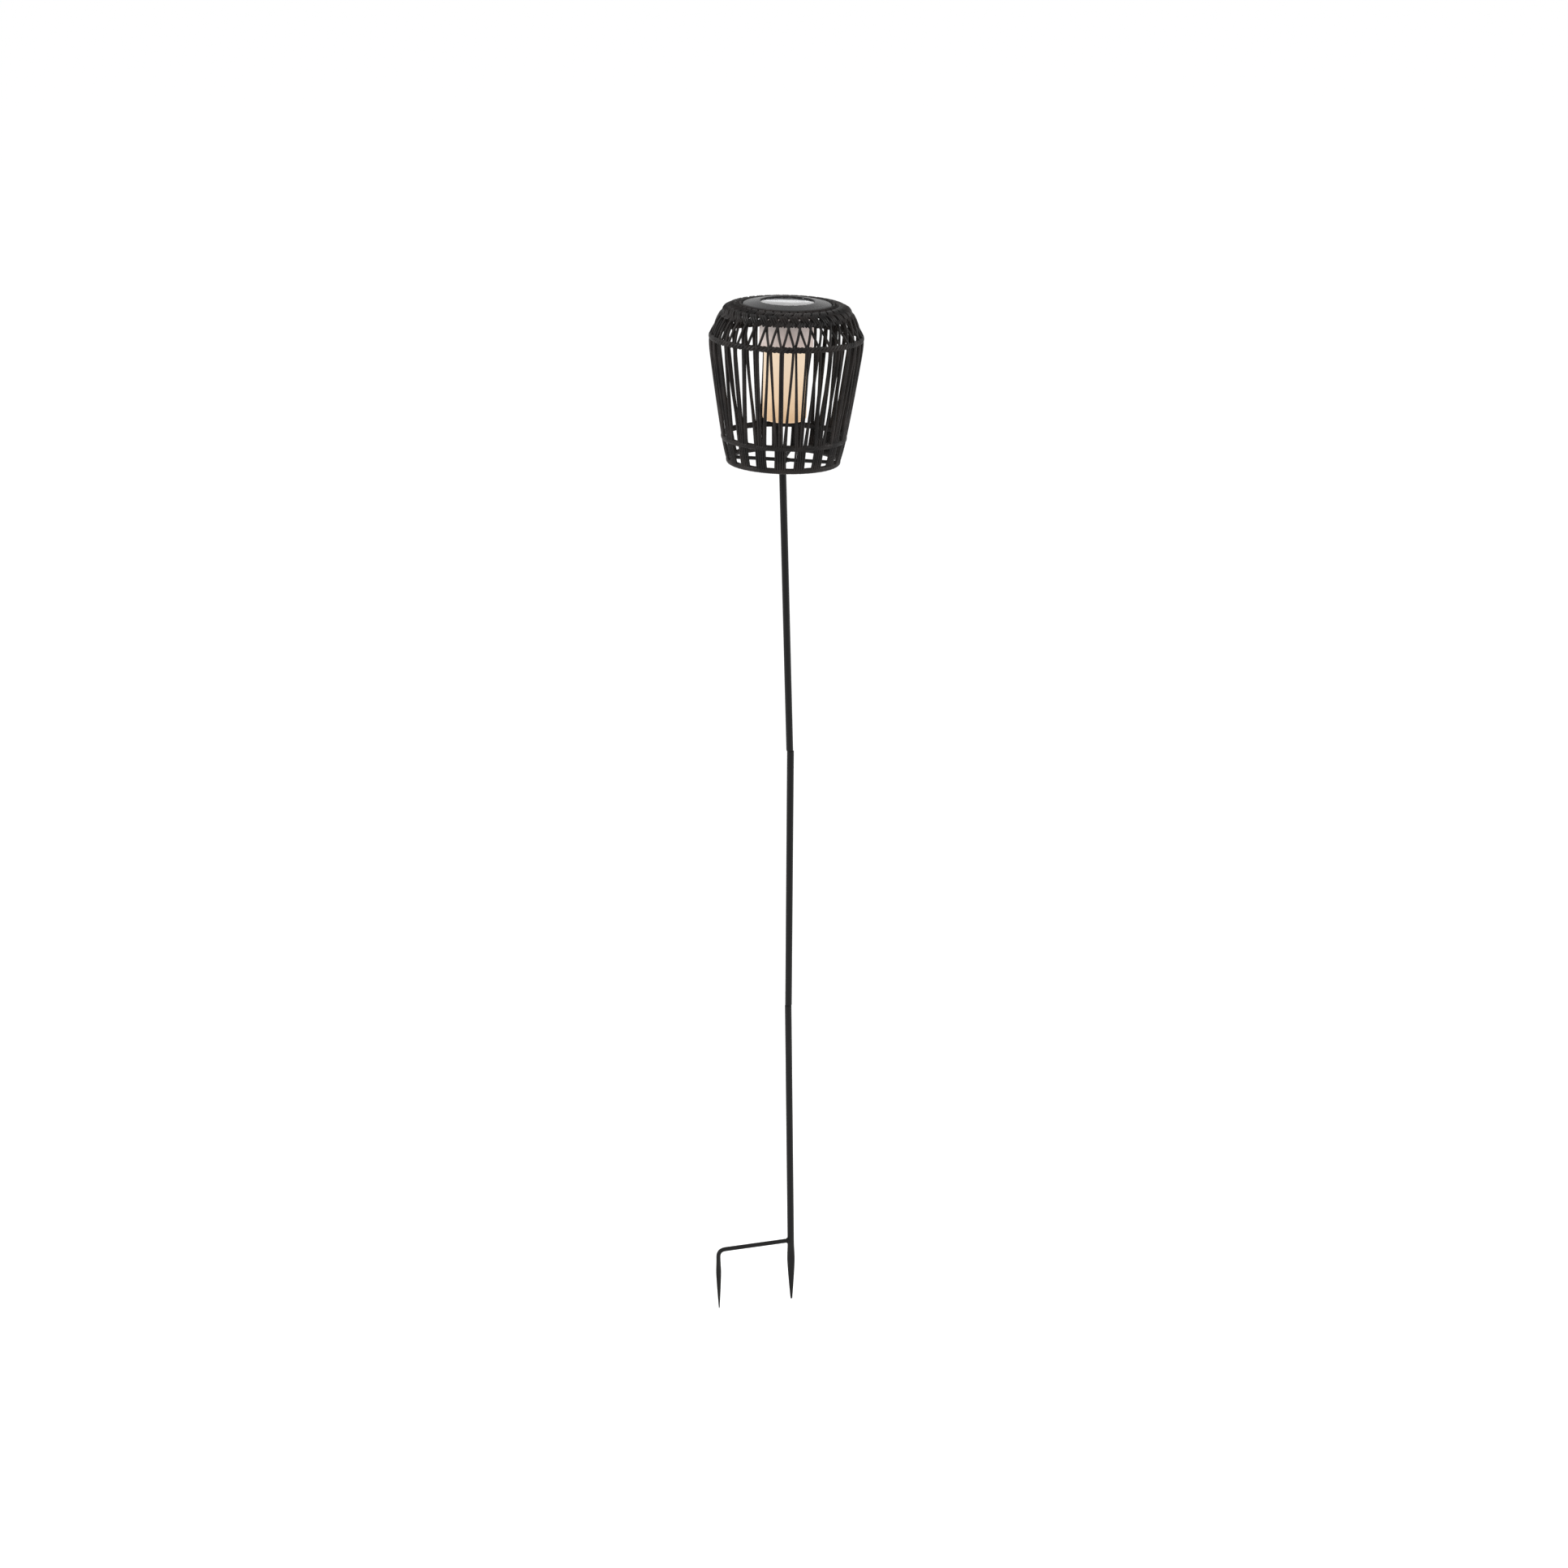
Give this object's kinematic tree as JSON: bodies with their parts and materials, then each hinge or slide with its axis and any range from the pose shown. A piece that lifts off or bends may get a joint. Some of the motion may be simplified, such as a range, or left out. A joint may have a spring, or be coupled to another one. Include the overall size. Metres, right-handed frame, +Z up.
{
  "type": "solar garden torch",
  "caption": "Woven cane basket lantern with a solar module and hanging glow tube, on a slim plug-together steel pole with a forked step-in ground stake.",
  "frame": {"origin": "on the pole's axis at the ground line, level with the underside of the step arm", "axes": "+Z up along the pole, -Y towards the side from which the step arm points left and a little forward, +X to the right"},
  "size_m": [0.1744, 0.1744, 1.222],
  "materials": {
    "pole_coat": "satin black powder coat",
    "frame_wire": "black powder-coated wire",
    "cane": "black-brown woven resin cane",
    "black_plastic": "dark satin moulding",
    "clear_lens": "clear polished cover",
    "silicon": "dark blue solar cell",
    "seal_rubber": "black soft seal",
    "housing_plastic": "pale translucent moulding",
    "frosted_plastic": "frosted amber-tinted diffuser",
    "battery_label": "plain shrink sleeve",
    "nickel": "nickel plated",
    "board_laminate": "green circuit laminate",
    "led_resin": "clear epoxy lamp"
  },
  "bodies": {
    "stake": {"stake_tube": "pole_coat", "step_arm": "pole_coat"},
    "middle_section": {"middle_pole": "pole_coat"},
    "upper_section": {"upper_pole": "pole_coat"},
    "lantern": {"pole_stem": "pole_coat", "base_spoke_1": "frame_wire", "base_spoke_2": "frame_wire", "base_spoke_3": "frame_wire", "base_spoke_4": "frame_wire", "rim_hoop": "frame_wire", "collar_weave": "cane", "collar_hoop": "frame_wire", "shoulder_canes": "cane", "shoulder_hoop": "cane", "fan_canes": "cane", "rib_01": "cane", "rib_02": "cane", "rib_03": "cane", "rib_04": "cane", "rib_05": "cane", "rib_06": "cane", "rib_07": "cane", "rib_08": "cane", "rib_09": "cane", "rib_10": "cane", "rib_11": "cane", "rib_12": "cane", "rib_13": "cane", "rib_14": "cane", "rib_15": "cane", "rib_16": "cane", "rib_17": "cane", "rib_18": "cane", "rib_19": "cane", "lower_hoop": "cane", "foot_hoop": "cane"},
    "solar_module": {"bezel_ring": "black_plastic", "panel_lens": "clear_lens", "lens_gasket": "seal_rubber", "solar_cell": "silicon", "cell_tray": "housing_plastic", "module_housing": "housing_plastic", "housing_screw_1": "nickel", "housing_screw_2": "nickel", "housing_screw_3": "nickel", "battery": "battery_label", "battery_spring": "nickel", "battery_plate": "nickel", "circuit_board": "board_laminate", "led_lamp": "led_resin", "switch_body": "black_plastic", "candle_tube": "frosted_plastic"},
    "switch": {"switch_slider": "seal_rubber"}
  },
  "joints": [
    {"name": "middle_section_lift", "type": "slide", "parent": "stake", "child": "middle_section", "axis": [-0.0105, 0, 0.9999], "range_m": [0, 0.04]},
    {"name": "upper_section_lift", "type": "slide", "parent": "middle_section", "child": "upper_section", "axis": [0.007, 0, 1], "range_m": [0, 0.04]},
    {"name": "lantern_lift", "type": "slide", "parent": "upper_section", "child": "lantern", "axis": [-0.0248, 0, 0.9997], "range_m": [0, 0.035]},
    {"name": "solar_module_lift", "type": "slide", "parent": "lantern", "child": "solar_module", "axis": [0.0253, 0, 0.9997], "range_m": [0, 0.16]},
    {"name": "switch_slide", "type": "slide", "parent": "solar_module", "child": "switch", "axis": [0.9997, 0, -0.0253], "range_m": [0, 0.0025]}
  ]
}
